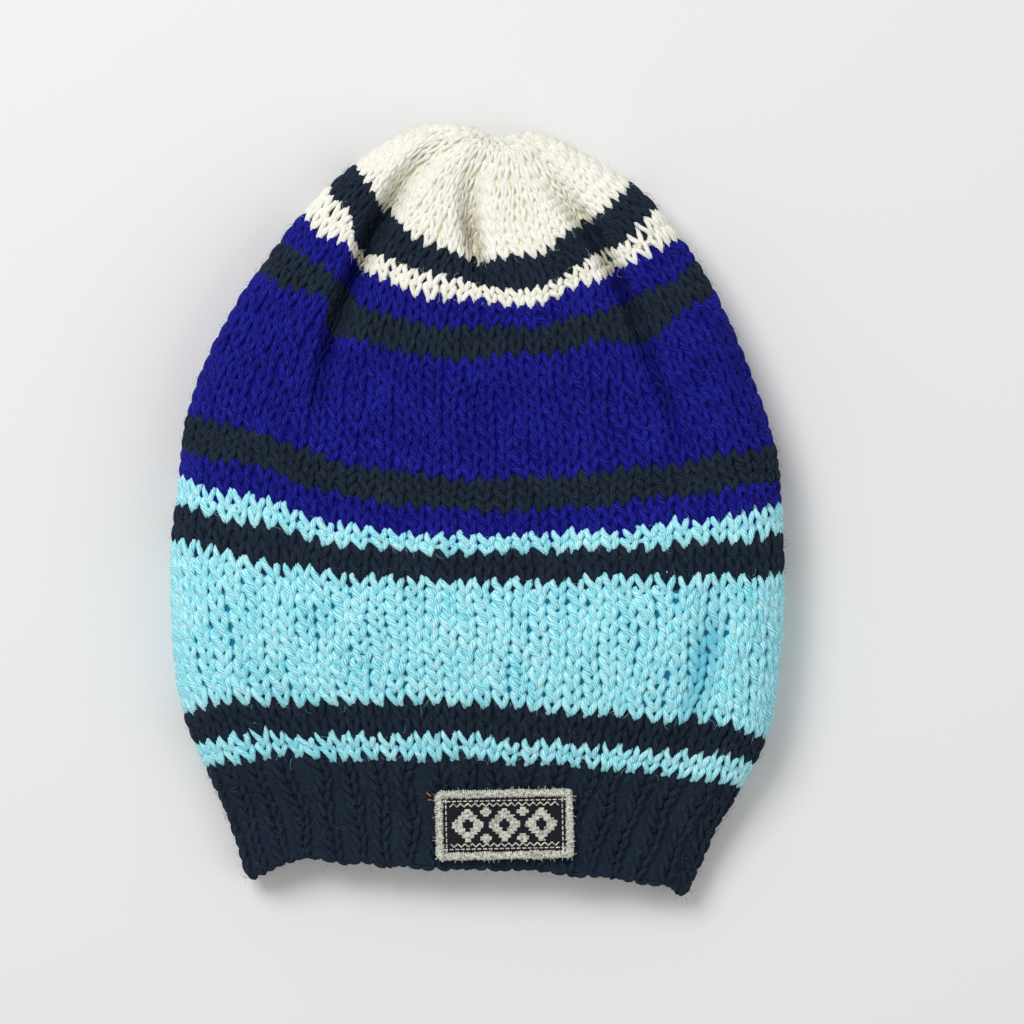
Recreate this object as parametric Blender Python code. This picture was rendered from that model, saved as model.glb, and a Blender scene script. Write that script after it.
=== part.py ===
"""Knitted chullo hat without ear flaps, lying on its back as it rests on a table.

The hat is a tube of stockinette knitted in coloured stripes. Its last course is drawn together into
pleats at the top, and a ribbed band closes round the head at the hem. An embroidered label with an
overlocked rim is sewn to the front of the band. +Z points up from the table, the front of the hat
looks up, the hem faces -Y and the gathered top +Y. Metres.
"""

import functools
import math
from collections import namedtuple

import bmesh
import bpy
import numpy as np

# Sizes of the whole hat as it lies
HAT_WIDTH = 0.2228
HAT_LENGTH = 0.278
HAT_THICKNESS = 0.042

# Sizes of the knitted walls
CROWN_WALL = 0.0032
BAND_WALL = 0.0036
RIB_DEPTH = 0.0011
HEM_ROUND = 0.0019
SEAM_GAP = 0.0004

# Stitches round the hat, and the wave of a rib: knit and purl, two points each
WALES = 76
POINTS_PER_WALE = 2
RIB_WAVE = (0, 0, 1, 1)

# Sizes of the label, with its place on the band as shares of the hat's half width and length
LABEL_WIDTH = 0.050
LABEL_HEIGHT = 0.0256
LABEL_CORNER = 0.0026
LABEL_TILT = math.radians(1.2)
LABEL_ACROSS = 0.087
LABEL_UP = 0.0886
GROUND_THICKNESS = 0.0011
BORDER_WIDTH = 0.0032
BORDER_HEIGHT = 0.0022
LABEL_GAP = 0.0003
LABEL_SEAT = 0.0004

# Form of a course's cross-section: the height of its side edges as a share of its thickness, how
# far the rounding at the sides reaches in as a share of its height, and how much the front domes
SIDE_HEIGHT = 0.42
FRONT_REACH = 1.15
BACK_REACH = 1.25
NARROW_REACH = 0.85
DOME = 0.2

# Fineness of the solids
OUTLINE_SAMPLES = 240
COURSES_PER_ROW = 2.0
BAND_ROWS = 4
HEIGHT_STEPS = 20
INSIDE_ROW_SKIP = 2
INSIDE_END = 5.5
INSIDE_POLE = 0.35
LABEL_CORNER_STEPS = 4
LABEL_SIDE_STEPS = 5
BORDER_SIDES = 8

# The stripes from the hem up: yarn and number of courses
Stripe = namedtuple("Stripe", "yarn courses")
RIB = Stripe("black", 9)
STRIPES = (
    Stripe("light_blue", 2),
    Stripe("black", 2),
    Stripe("light_blue", 10),
    Stripe("black", 2),
    Stripe("light_blue", 2),
    Stripe("royal", 2),
    Stripe("black", 3),
    Stripe("royal", 9),
    Stripe("black", 2),
    Stripe("royal", 2),
    Stripe("white", 2),
    Stripe("black", 2),
    Stripe("white", 10),
)
TOP_COURSE = RIB.courses + sum(stripe.courses for stripe in STRIPES)
COURSE_PITCH = HAT_LENGTH / TOP_COURSE

# Where each course lies. The _out columns are shares of half the width, from the middle line;
# the _up columns are shares of the length, from the hem; arc is half the angle that the course
# turns through in degrees, bow how squarely it turns at the sides, and under and top are the
# lowest and highest points as shares of the thickness.
Section = namedtuple(
    "Section", "course left_out left_up mid_up right_out right_up arc bow under top"
)
SECTIONS = (
    Section(0, -0.737, 0.018, 0.025, 0.690, -0.003, 20, 5.0, 0.00, 0.46),
    Section(5, -0.817, 0.096, 0.107, 0.779, 0.076, 20, 5.0, 0.00, 0.53),
    Section(9, -0.861, 0.153, 0.171, 0.855, 0.133, 20, 5.0, 0.00, 0.66),
    Section(13, -0.950, 0.233, 0.242, 0.938, 0.197, 20, 4.5, 0.00, 0.82),
    Section(18, -0.993, 0.342, 0.324, 0.983, 0.300, 20, 3.0, 0.00, 0.95),
    Section(23, -0.993, 0.455, 0.404, 0.996, 0.410, 24, 2.2, 0.00, 1.00),
    Section(27, -0.971, 0.532, 0.462, 0.988, 0.494, 30, 2.0, 0.00, 1.00),
    Section(32, -0.945, 0.614, 0.541, 0.961, 0.576, 36, 2.0, 0.00, 0.98),
    Section(37, -0.868, 0.703, 0.624, 0.866, 0.685, 44, 2.0, 0.00, 0.95),
    Section(41, -0.758, 0.780, 0.692, 0.770, 0.771, 52, 2.0, 0.00, 0.91),
    Section(45, -0.596, 0.868, 0.762, 0.667, 0.839, 62, 2.0, 0.00, 0.87),
    Section(49, -0.438, 0.933, 0.820, 0.515, 0.911, 74, 2.0, 0.00, 0.81),
    Section(52, -0.302, 0.973, 0.868, 0.390, 0.945, 86, 2.0, 0.00, 0.75),
    Section(55, -0.154, 0.998, 0.918, 0.254, 0.974, 96, 2.0, 0.04, 0.66),
    Section(57, -0.053, 0.992, 0.948, 0.150, 0.986, 98, 2.0, 0.13, 0.57),
    Section(59, 0.020, 0.977, 0.966, 0.072, 0.975, 90, 2.0, 0.30, 0.46),
)

# Creases. side is +1 on the front and -1 on the back; low and high are the courses where a crease
# dies away and low_across and high_across its places there, from -1 at the left edge to +1 at the
# right; deepest is the course where it is deepest, depth a share of the thickness and width a share
# of half the hat's width.
Crease = namedtuple(
    "Crease", "side low high low_across high_across deepest depth width"
)
CREASES = (
    Crease(+1, 33, 57, -0.54, -0.70, 49, 0.24, 0.050),
    Crease(+1, 46, 57, -0.04, -0.26, 51, 0.20, 0.045),
    Crease(+1, 34, 57, 0.68, 0.57, 50, 0.20, 0.048),
    Crease(+1, 25, 35, -0.40, -0.68, 30, 0.04, 0.090),
    Crease(+1, 11, 24, 0.77, 0.77, 18, 0.05, 0.060),
    Crease(-1, 43, 56, -0.46, -0.50, 50, 0.13, 0.045),
    Crease(-1, 46, 56, 0.08, 0.06, 51, 0.12, 0.045),
    Crease(-1, 41, 56, 0.52, 0.50, 49, 0.14, 0.045),
)

# A crease is a narrow groove, with a share of its depth in a wider hollow round it
HOLLOW_SHARE = 0.35
HOLLOW_SPREAD = 2.6

# Colours as linear red, green and blue, with a roughness
Finish = namedtuple("Finish", "red green blue roughness")
FINISHES = {
    "black": Finish(0.010, 0.015, 0.024, 0.95),
    "light_blue": Finish(0.235, 0.680, 0.830, 0.92),
    "royal": Finish(0.010, 0.006, 0.320, 0.92),
    "white": Finish(0.860, 0.840, 0.750, 0.92),
    "label_ground": Finish(0.012, 0.013, 0.016, 0.85),
    "label_thread": Finish(0.520, 0.510, 0.460, 0.60),
}


# The surface of the hat


@functools.lru_cache(maxsize=None)
def section_at(course):
    """The section table read smoothly at any course, as a Section."""
    table = np.array(SECTIONS, dtype=float)
    knots = table[:, 0]
    at = int(np.clip(np.searchsorted(knots, course) - 1, 0, len(knots) - 2))
    slopes = np.gradient(table, knots, axis=0)
    span = knots[at + 1] - knots[at]
    f = (course - knots[at]) / span
    row = (
        (2 * f**3 - 3 * f**2 + 1) * table[at]
        + (f**3 - 2 * f**2 + f) * span * slopes[at]
        + (3 * f**2 - 2 * f**3) * table[at + 1]
        + (f**3 - f**2) * span * slopes[at + 1]
    )
    return Section(*row)


def plan_curve(section, turn):
    """Where a course runs as seen from above; turn goes from -1 at its left end to +1."""
    arc = math.radians(section.arc)
    across = np.sin(arc * turn) / math.sin(arc)
    fall = (1 - np.cos(arc * turn)) / (1 - math.cos(arc))
    bow = 1 - fall ** (section.bow / 2)
    middle = (section.left_out + section.right_out) / 2
    half = (section.right_out - section.left_out) / 2
    end_up = (section.left_up + section.right_up) / 2
    lean = (section.right_up - section.left_up) / 2
    out = middle + half * across
    up = end_up + lean * across + (section.mid_up - end_up) * bow
    return out * HAT_WIDTH / 2, (up - 0.5) * HAT_LENGTH


def crease_depth(course, side, across):
    """How far the creases of one side push the wall in along a course."""
    depth = np.zeros_like(across)
    for crease in CREASES:
        if crease.side != side or not crease.low < course < crease.high:
            continue
        if course < crease.deepest:
            strength = (course - crease.low) / (crease.deepest - crease.low)
        else:
            strength = (crease.high - course) / (crease.high - crease.deepest)
        along = (course - crease.low) / (crease.high - crease.low)
        centre = crease.low_across + along * (crease.high_across - crease.low_across)
        section = section_at(course)
        half = (section.right_out - section.left_out) / 2
        away = (across - centre) * half / crease.width
        groove = (1 - HOLLOW_SHARE) * np.exp(-(away**2))
        hollow = HOLLOW_SHARE * np.exp(-((away / HOLLOW_SPREAD) ** 2))
        deep = crease.depth * HAT_THICKNESS * math.sin(math.pi / 2 * strength)
        depth += deep * (groove + hollow)
    return depth


def side_rounding(across, half, height, reach):
    """A quarter round at each side of a course, from 0 at its ends to 1 on its flat middle."""
    width = min(height * reach, half * NARROW_REACH)
    from_end = np.minimum((1 - np.abs(across)) * half / width, 1)
    return np.sqrt(1 - (1 - from_end) ** 2)


@functools.lru_cache(maxsize=None)
def half_course(course, side):
    """The front (side +1) or the back (side -1) of a course, from its left end to its right.

    Returns the share of its length run so far, and the x, y and z there.
    """
    section = section_at(course)
    turn = np.linspace(-1, 1, OUTLINE_SAMPLES)
    plan_x, plan_y = plan_curve(section, turn)
    run = np.concatenate(([0], np.cumsum(np.hypot(np.diff(plan_x), np.diff(plan_y)))))
    across = -np.cos(np.linspace(0, math.pi, OUTLINE_SAMPLES))
    x = np.interp((across + 1) / 2 * run[-1], run, plan_x)
    y = np.interp((across + 1) / 2 * run[-1], run, plan_y)
    low = section.under * HAT_THICKNESS
    high = section.top * HAT_THICKNESS
    edge = low + SIDE_HEIGHT * (high - low)
    if side > 0:
        swell = side_rounding(across, run[-1] / 2, high - edge, FRONT_REACH)
        dome = DOME * (1 - across**2)
        z = edge + (high - edge) * (swell * (1 - DOME) + dome)
    else:
        swell = side_rounding(across, run[-1] / 2, edge - low, BACK_REACH)
        z = edge - (edge - low) * swell
    z = z - side * crease_depth(course, side, across)
    steps = np.sqrt(np.diff(x) ** 2 + np.diff(y) ** 2 + np.diff(z) ** 2)
    length = np.concatenate(([0], np.cumsum(steps)))
    return length / length[-1], x, y, z


def course_points(course, stitches):
    """Points on the outside of a course; stitch 0 is its left end and WALES / 2 its right end."""
    half = WALES / 2
    stitches = np.mod(stitches, WALES)
    points = np.empty((len(stitches), 3))
    on_front = stitches <= half
    for side, chosen, share in (
        (+1, on_front, stitches / half),
        (-1, ~on_front, 2 - stitches / half),
    ):
        run, x, y, z = half_course(round(course, 6), side)
        for axis, values in enumerate((x, y, z)):
            points[chosen, axis] = np.interp(share[chosen], run, values)
    return points


def wall_points(course, count, depth):
    """A ring of count points round a course, depth below the outside of the wall."""
    stitches = np.arange(count) * WALES / count
    along = course_points(course, stitches + 0.5) - course_points(
        course, stitches - 0.5
    )
    upward = course_points(course + 0.5, stitches) - course_points(
        course - 0.5, stitches
    )
    normal = np.cross(along, upward)
    normal /= np.linalg.norm(normal, axis=1, keepdims=True)
    points = course_points(course, stitches) - normal * np.reshape(depth, (-1, 1))
    return points


def height_over(x, y):
    """The height of the front of the band over a point of the table."""
    low, high = 0.0, float(RIB.courses + STRIPES[0].courses)
    for _ in range(HEIGHT_STEPS):
        course = (low + high) / 2
        _, front_x, front_y, front_z = half_course(round(course, 6), +1)
        if np.interp(x, front_x, front_y) < y:
            low = course
        else:
            high = course
    return float(np.interp(x, front_x, front_z))


# Making objects


def clear_scene():
    for thing in list(bpy.data.objects):
        bpy.data.objects.remove(thing, do_unlink=True)


@functools.lru_cache(maxsize=None)
def finish(name):
    """A plain material of one of the yarns or threads."""
    values = FINISHES[name]
    material = bpy.data.materials.new(name)
    material.use_nodes = True
    shader = material.node_tree.nodes["Principled BSDF"]
    shader.inputs["Base Color"].default_value = (
        values.red,
        values.green,
        values.blue,
        1,
    )
    shader.inputs["Roughness"].default_value = values.roughness
    shader.inputs["Metallic"].default_value = 0.0
    return material


def add_object(name, bm, finishes):
    """Turns a bmesh into an object with the named finishes."""
    mesh = bpy.data.meshes.new(name)
    bmesh.ops.triangulate(bm, faces=bm.faces[:])
    bm.to_mesh(mesh)
    bm.free()
    for finish_name in finishes:
        mesh.materials.append(finish(finish_name))
    mesh.shade_smooth()
    mesh.set_sharp_from_angle(angle=math.radians(50))
    thing = bpy.data.objects.new(name, mesh)
    bpy.context.scene.collection.objects.link(thing)
    return thing


def skin_rings(bm, rings, slots, closed):
    """Faces between each ring of vertices and the next, and from the last to the first if closed."""
    count = len(rings)
    for row in range(count if closed else count - 1):
        lower = rings[row]
        upper = rings[(row + 1) % count]
        for i in range(len(lower)):
            k = (i + 1) % len(lower)
            face = bm.faces.new((lower[i], lower[k], upper[k], upper[i]))
            face.material_index = slots[row]


def close_ring(bm, ring, pole, slot, flip):
    """A fan of faces from a ring to one point."""
    tip = bm.verts.new(pole)
    for i in range(len(ring)):
        k = (i + 1) % len(ring)
        corners = (ring[k], ring[i], tip) if flip else (ring[i], ring[k], tip)
        face = bm.faces.new(corners)
        face.material_index = slot


# The pieces


def make_crown():
    """The striped tube from the band to the gather, open at the band."""
    yarns = sorted({stripe.yarn for stripe in STRIPES})
    courses = [RIB.courses + SEAM_GAP / COURSE_PITCH]
    slots = []
    reached = RIB.courses
    for stripe in STRIPES:
        rows = max(1, round(stripe.courses / COURSES_PER_ROW))
        for row in range(1, rows + 1):
            courses.append(reached + stripe.courses * row / rows)
            slots.append(yarns.index(stripe.yarn))
        reached += stripe.courses
    last_inside = TOP_COURSE - INSIDE_END
    inside_courses = [c for c in courses[::INSIDE_ROW_SKIP] if c < last_inside]
    inside_courses.append(last_inside)
    inside_slots = [
        slots[min(range(len(slots)), key=lambda k: abs(courses[k] - c))]
        for c in inside_courses
    ]

    outside = [wall_points(c, WALES, 0.0) for c in courses]
    inside = [wall_points(c, WALES, CROWN_WALL) for c in inside_courses]
    bm = bmesh.new()
    loops = [
        [bm.verts.new(p) for p in ring] for ring in list(reversed(inside)) + outside
    ]
    skin_rings(bm, loops, list(reversed(inside_slots)) + slots, closed=False)
    gather = outside[-1].mean(axis=0)
    hollow_top = inside[-1].mean(axis=0)
    hollow_top += (gather - hollow_top) * INSIDE_POLE
    close_ring(bm, loops[0], hollow_top, slots[-1], flip=True)
    close_ring(bm, loops[-1], gather, slots[-1], flip=False)
    return add_object("crown", bm, yarns)


def make_rib_band():
    """The ribbed band at the hem: a wall that waves in and out, one rib for two stitches."""
    count = POINTS_PER_WALE * WALES
    wave = np.array(RIB_WAVE)[np.arange(count) % len(RIB_WAVE)] * RIB_DEPTH
    courses = np.linspace(HEM_ROUND / COURSE_PITCH, RIB.courses, BAND_ROWS + 1)
    inside_courses = courses[::-INSIDE_ROW_SKIP]
    rings = [wall_points(c, count, wave) for c in courses]
    rings += [wall_points(c, count, wave + BAND_WALL) for c in inside_courses]
    rings.append(wall_points(0.0, count, wave + BAND_WALL / 2))
    bm = bmesh.new()
    loops = [[bm.verts.new(p) for p in ring] for ring in rings]
    skin_rings(bm, loops, [0] * len(loops), closed=True)
    return add_object("rib_band", bm, [RIB.yarn])


def label_outline(inset):
    """Points round the label's rounded rectangle, moved in by inset, in the label's own plane."""
    half_width = LABEL_WIDTH / 2 - inset
    half_height = LABEL_HEIGHT / 2 - inset
    radius = max(LABEL_CORNER - inset, LABEL_CORNER / 4)
    corners = (
        (half_width - radius, -half_height + radius, -90),
        (half_width - radius, half_height - radius, 0),
        (-half_width + radius, half_height - radius, 90),
        (-half_width + radius, -half_height + radius, 180),
    )
    points = []
    for number, (x, y, start) in enumerate(corners):
        for step in range(LABEL_CORNER_STEPS + 1):
            turn = math.radians(start + 90 * step / LABEL_CORNER_STEPS)
            points.append((x + radius * math.cos(turn), y + radius * math.sin(turn)))
        next_x, next_y, _ = corners[(number + 1) % 4]
        turn = math.radians(start + 90)
        end = (next_x + radius * math.cos(turn), next_y + radius * math.sin(turn))
        begin = points[-1]
        for step in range(1, LABEL_SIDE_STEPS):
            share = step / LABEL_SIDE_STEPS
            points.append(
                (
                    begin[0] + (end[0] - begin[0]) * share,
                    begin[1] + (end[1] - begin[1]) * share,
                )
            )
    return points


def on_band(point, lift):
    """A point of the label's plane laid on the front of the band, lift above it."""
    a, b = point
    x = LABEL_ACROSS * HAT_WIDTH / 2 + a * math.cos(LABEL_TILT)
    x -= b * math.sin(LABEL_TILT)
    y = (LABEL_UP - 0.5) * HAT_LENGTH + a * math.sin(LABEL_TILT)
    y += b * math.cos(LABEL_TILT)
    return (x, y, height_over(x, y) + lift)


def make_label_ground():
    """The woven ground of the label, a thin pad that follows the front of the band."""
    inset = BORDER_WIDTH + LABEL_GAP
    outline = label_outline(inset)
    bm = bmesh.new()
    loops = []
    top = LABEL_SEAT + GROUND_THICKNESS
    for lift, share in (
        (LABEL_SEAT, 0.5),
        (LABEL_SEAT, 1.0),
        (top, 1.0),
        (top, 0.5),
    ):
        ring = [on_band((a * share, b * share), lift) for a, b in outline]
        loops.append([bm.verts.new(p) for p in ring])
    skin_rings(bm, loops, [0] * len(loops), closed=False)
    close_ring(bm, loops[0], on_band((0, 0), LABEL_SEAT), 0, flip=True)
    close_ring(bm, loops[-1], on_band((0, 0), top), 0, flip=False)
    return add_object("label_ground", bm, ["label_ground"])


def make_label_border():
    """The overlocked rim of the label, a raised rounded cord along its edge."""
    bm = bmesh.new()
    loops = []
    for side in range(BORDER_SIDES):
        turn = 2 * math.pi * side / BORDER_SIDES
        inset = BORDER_WIDTH / 2 * (1 - math.cos(turn))
        lift = LABEL_SEAT + BORDER_HEIGHT / 2 * (1 - math.sin(turn))
        loops.append(
            [bm.verts.new(on_band(p, lift)) for p in label_outline(inset)]
        )
    skin_rings(bm, loops, [0] * len(loops), closed=True)
    bmesh.ops.recalc_face_normals(bm, faces=bm.faces[:])
    return add_object("label_border", bm, ["label_thread"])


clear_scene()
make_crown()
make_rib_band()
make_label_ground()
make_label_border()
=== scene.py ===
"""A knitted chullo hat without ear flaps, lying on its back, with every stitch a loop of yarn.

The hat is knitted in the round from the hem to the top: nine courses of black rib, then fifty courses
of stockinette in coloured stripes. The last course is drawn together, and a label is sewn on the band.
"""

import functools
import math
from collections import namedtuple

import bmesh
import bpy
import numpy as np
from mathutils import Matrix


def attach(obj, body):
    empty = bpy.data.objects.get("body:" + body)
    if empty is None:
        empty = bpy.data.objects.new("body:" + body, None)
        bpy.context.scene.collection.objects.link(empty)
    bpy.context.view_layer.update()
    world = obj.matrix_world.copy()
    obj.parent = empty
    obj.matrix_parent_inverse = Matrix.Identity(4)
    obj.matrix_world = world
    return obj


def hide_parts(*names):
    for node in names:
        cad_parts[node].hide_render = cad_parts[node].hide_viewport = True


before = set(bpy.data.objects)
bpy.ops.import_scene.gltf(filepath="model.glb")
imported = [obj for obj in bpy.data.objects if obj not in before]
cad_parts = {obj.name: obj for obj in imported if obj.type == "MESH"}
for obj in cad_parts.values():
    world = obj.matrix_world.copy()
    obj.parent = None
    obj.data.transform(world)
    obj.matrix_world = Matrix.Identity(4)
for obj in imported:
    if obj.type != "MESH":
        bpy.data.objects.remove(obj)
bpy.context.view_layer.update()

# The floor, the light and the camera. The hat lies on a pale table under soft light from the upper
# left, and the camera looks straight down on its front from far enough away that the sides hardly
# lean.

FLOOR_SIZE = 6.0
FLOOR_GREY = (0.80, 0.80, 0.80)
SKY_STRENGTH = 0.45
VIEW_CENTRE = (0.0124, -0.0022)
VIEW_WIDTH = 1024 * 0.00036
LENS = 170.0
SENSOR = 36.0
FOCUS_HEIGHT = 0.018


def plain_material(name, roughness, specular):
    """A new material, with its nodes, the means to link them and its shader."""
    material = bpy.data.materials.new(name)
    material.use_nodes = True
    tree = material.node_tree
    shader = tree.nodes["Principled BSDF"]
    shader.inputs["Roughness"].default_value = roughness
    shader.inputs["Specular IOR Level"].default_value = specular
    return material, tree.nodes, tree.links.new, shader


bm = bmesh.new()
bmesh.ops.create_grid(bm, x_segments=1, y_segments=1, size=FLOOR_SIZE / 2)
floor_mesh = bpy.data.meshes.new("floor")
bm.to_mesh(floor_mesh)
bm.free()
floor = bpy.data.objects.new("floor", floor_mesh)
bpy.context.scene.collection.objects.link(floor)
floor_paint, _, _, shader = plain_material("floor_paint", roughness=0.9, specular=0.1)
shader.inputs["Base Color"].default_value = (*FLOOR_GREY, 1)
floor_mesh.materials.append(floor_paint)

Lamp = namedtuple("Lamp", "name x y z size watts")
LAMPS = (
    Lamp("key_light", -0.75, 0.95, 1.55, 0.9, 25.0),
    Lamp("fill_light", 1.2, -0.6, 1.4, 1.4, 6.0),
)
for lamp in LAMPS:
    light = bpy.data.lights.new(lamp.name, "AREA")
    light.size = lamp.size
    light.energy = lamp.watts
    placed = bpy.data.objects.new(lamp.name, light)
    placed.location = (lamp.x, lamp.y, lamp.z)
    tilt = math.atan2(math.hypot(lamp.x, lamp.y), lamp.z)
    placed.rotation_euler = (tilt, 0, math.atan2(lamp.y, lamp.x) + math.pi / 2)
    bpy.context.scene.collection.objects.link(placed)

world = bpy.data.worlds.new("studio")
bpy.context.scene.world = world
world.use_nodes = True
world.node_tree.nodes["Background"].inputs["Color"].default_value = (1, 1, 1, 1)
world.node_tree.nodes["Background"].inputs["Strength"].default_value = SKY_STRENGTH
bpy.context.scene.view_settings.view_transform = "Standard"

camera_data = bpy.data.cameras.new("camera")
camera_data.lens = LENS
camera_data.sensor_width = SENSOR
camera = bpy.data.objects.new("camera", camera_data)
camera.location = (*VIEW_CENTRE, FOCUS_HEIGHT + VIEW_WIDTH * LENS / SENSOR)
bpy.context.scene.collection.objects.link(camera)
bpy.context.scene.camera = camera

# The rib band. It is nine courses of black acrylic yarn in 1x1 rib, knitted first: knit columns stand
# out, purl columns sink between them, and the band pulls in round the head.

# sizes of the hat as it lies, as in its solids
HAT_WIDTH = 0.2228
HAT_LENGTH = 0.278
HAT_THICKNESS = 0.042
WALES = 76
SIDE_HEIGHT = 0.42
FRONT_REACH = 1.15
BACK_REACH = 1.25
NARROW_REACH = 0.85
DOME = 0.2
OUTLINE_SAMPLES = 400
TOP_COURSE = 59
RIB_COURSES = 9

# where each course lies, in the same columns as in the solids
Section = namedtuple(
    "Section", "course left_out left_up mid_up right_out right_up arc bow under top"
)
SECTIONS = (
    Section(0, -0.760, 0.018, 0.025, 0.690, -0.003, 20, 5.0, 0.00, 0.46),
    Section(5, -0.817, 0.096, 0.107, 0.779, 0.076, 20, 5.0, 0.00, 0.53),
    Section(9, -0.880, 0.153, 0.171, 0.858, 0.133, 20, 5.0, 0.00, 0.66),
    Section(13, -0.958, 0.233, 0.242, 0.938, 0.197, 20, 4.5, 0.00, 0.82),
    Section(18, -0.993, 0.342, 0.324, 0.983, 0.300, 20, 3.0, 0.00, 0.95),
    Section(23, -0.993, 0.455, 0.404, 0.996, 0.410, 24, 2.2, 0.00, 1.00),
    Section(27, -0.971, 0.532, 0.462, 0.988, 0.494, 30, 2.0, 0.00, 1.00),
    Section(32, -0.945, 0.614, 0.541, 0.966, 0.576, 36, 2.0, 0.00, 0.98),
    Section(37, -0.868, 0.703, 0.624, 0.877, 0.685, 44, 2.0, 0.00, 0.95),
    Section(41, -0.758, 0.780, 0.692, 0.781, 0.771, 52, 2.0, 0.00, 0.91),
    Section(45, -0.596, 0.868, 0.762, 0.678, 0.839, 62, 2.0, 0.00, 0.87),
    Section(49, -0.438, 0.933, 0.820, 0.530, 0.911, 74, 2.0, 0.00, 0.81),
    Section(52, -0.302, 0.973, 0.868, 0.408, 0.945, 86, 2.0, 0.00, 0.75),
    Section(55, -0.154, 0.998, 0.918, 0.280, 0.974, 96, 2.0, 0.04, 0.66),
    Section(57, -0.053, 0.996, 0.958, 0.190, 0.988, 98, 2.0, 0.13, 0.57),
    Section(59, 0.020, 0.989, 0.979, 0.096, 0.981, 90, 2.0, 0.30, 0.46),
)
# creases: where each runs, how deep it folds in, and how strong a shade is painted on its yarn
Crease = namedtuple(
    "Crease", "side low high low_across high_across deepest depth width shade"
)
CREASES = (
    Crease(+1, 33, 57, -0.54, -0.70, 49, 0.24, 0.050, 1.0),
    Crease(+1, 46, 57, 0.00, -0.26, 51, 0.20, 0.045, 1.0),
    Crease(+1, 31, 57, 0.695, 0.57, 50, 0.20, 0.048, 1.0),
    Crease(+1, 25, 35, -0.40, -0.68, 30, 0.04, 0.090, 0.3),
    Crease(+1, 10, 28, 0.70, 0.80, 19, 0.05, 0.110, 0.9),
    Crease(-1, 43, 56, -0.46, -0.50, 50, 0.13, 0.045, 0.7),
    Crease(-1, 46, 56, 0.08, 0.06, 51, 0.12, 0.045, 0.7),
    Crease(-1, 41, 56, 0.52, 0.50, 49, 0.14, 0.045, 0.7),
)
HOLLOW_SHARE = 0.35
HOLLOW_SPREAD = 2.6

# a crease folds in more sharply than the smooth solid shows, and its stitches crowd together; the
# shade painted on its yarn follows a narrower line and fades sooner towards the gather
FOLD_SHARPNESS = 0.55
FOLD_DEPTH = 1.5
CROWDING = 1.0
SHADE_SHARPNESS = 0.40
FADE_SHARPNESS = 3


@functools.lru_cache(maxsize=None)
def section_at(course):
    """The section table read smoothly at any course, as a Section."""
    table = np.array(SECTIONS, dtype=float)
    knots = table[:, 0]
    at = int(np.clip(np.searchsorted(knots, course) - 1, 0, len(knots) - 2))
    slopes = np.gradient(table, knots, axis=0)
    span = knots[at + 1] - knots[at]
    f = (course - knots[at]) / span
    row = (
        (2 * f**3 - 3 * f**2 + 1) * table[at]
        + (f**3 - 2 * f**2 + f) * span * slopes[at]
        + (3 * f**2 - 2 * f**3) * table[at + 1]
        + (f**3 - f**2) * span * slopes[at + 1]
    )
    return Section(*row)


def plan_curve(section, turn):
    """Where a course runs as seen from above; turn goes from -1 at its left end to +1."""
    arc = math.radians(section.arc)
    across = np.sin(arc * turn) / math.sin(arc)
    fall = (1 - np.cos(arc * turn)) / (1 - math.cos(arc))
    bow = 1 - fall ** (section.bow / 2)
    middle = (section.left_out + section.right_out) / 2
    half = (section.right_out - section.left_out) / 2
    end_up = (section.left_up + section.right_up) / 2
    lean = (section.right_up - section.left_up) / 2
    out = middle + half * across
    up = end_up + lean * across + (section.mid_up - end_up) * bow
    return out * HAT_WIDTH / 2, (up - 0.5) * HAT_LENGTH


def creases_at(course, side, across):
    """How deep one side's creases are along a course, and its crowding and painted shade there."""
    depth = np.zeros_like(across)
    crowd = np.zeros_like(across)
    shade = np.zeros_like(across)
    for crease in CREASES:
        if crease.side != side or not crease.low < course < crease.high:
            continue
        if course < crease.deepest:
            nearing = (course - crease.low) / (crease.deepest - crease.low)
        else:
            nearing = (crease.high - course) / (crease.high - crease.deepest)
        along = (course - crease.low) / (crease.high - crease.low)
        centre = crease.low_across + along * (crease.high_across - crease.low_across)
        section = section_at(course)
        half = (section.right_out - section.left_out) / 2
        away = (across - centre) * half / crease.width
        fold = np.exp(-((away / FOLD_SHARPNESS) ** 2))
        groove = (1 - HOLLOW_SHARE) * FOLD_DEPTH * fold
        hollow = HOLLOW_SHARE * np.exp(-((away / HOLLOW_SPREAD) ** 2))
        strength = math.sin(math.pi / 2 * nearing)
        deep = crease.depth * strength
        depth += deep * HAT_THICKNESS * (groove + hollow)
        crowd += deep * CROWDING * fold
        # towards the gather the shade painted in a crease pales sooner than the crease flattens
        fade = strength if course < crease.deepest else nearing**FADE_SHARPNESS
        line = np.exp(-((away / SHADE_SHARPNESS) ** 2))
        shade = np.maximum(shade, crease.shade * fade * line)
    return depth, crowd, shade


def side_rounding(across, half, height, reach):
    """A quarter round at each side of a course, from 0 at its ends to 1 on its flat middle."""
    width = min(height * reach, half * NARROW_REACH)
    from_end = np.minimum((1 - np.abs(across)) * half / width, 1)
    return np.sqrt(1 - (1 - from_end) ** 2)


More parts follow.
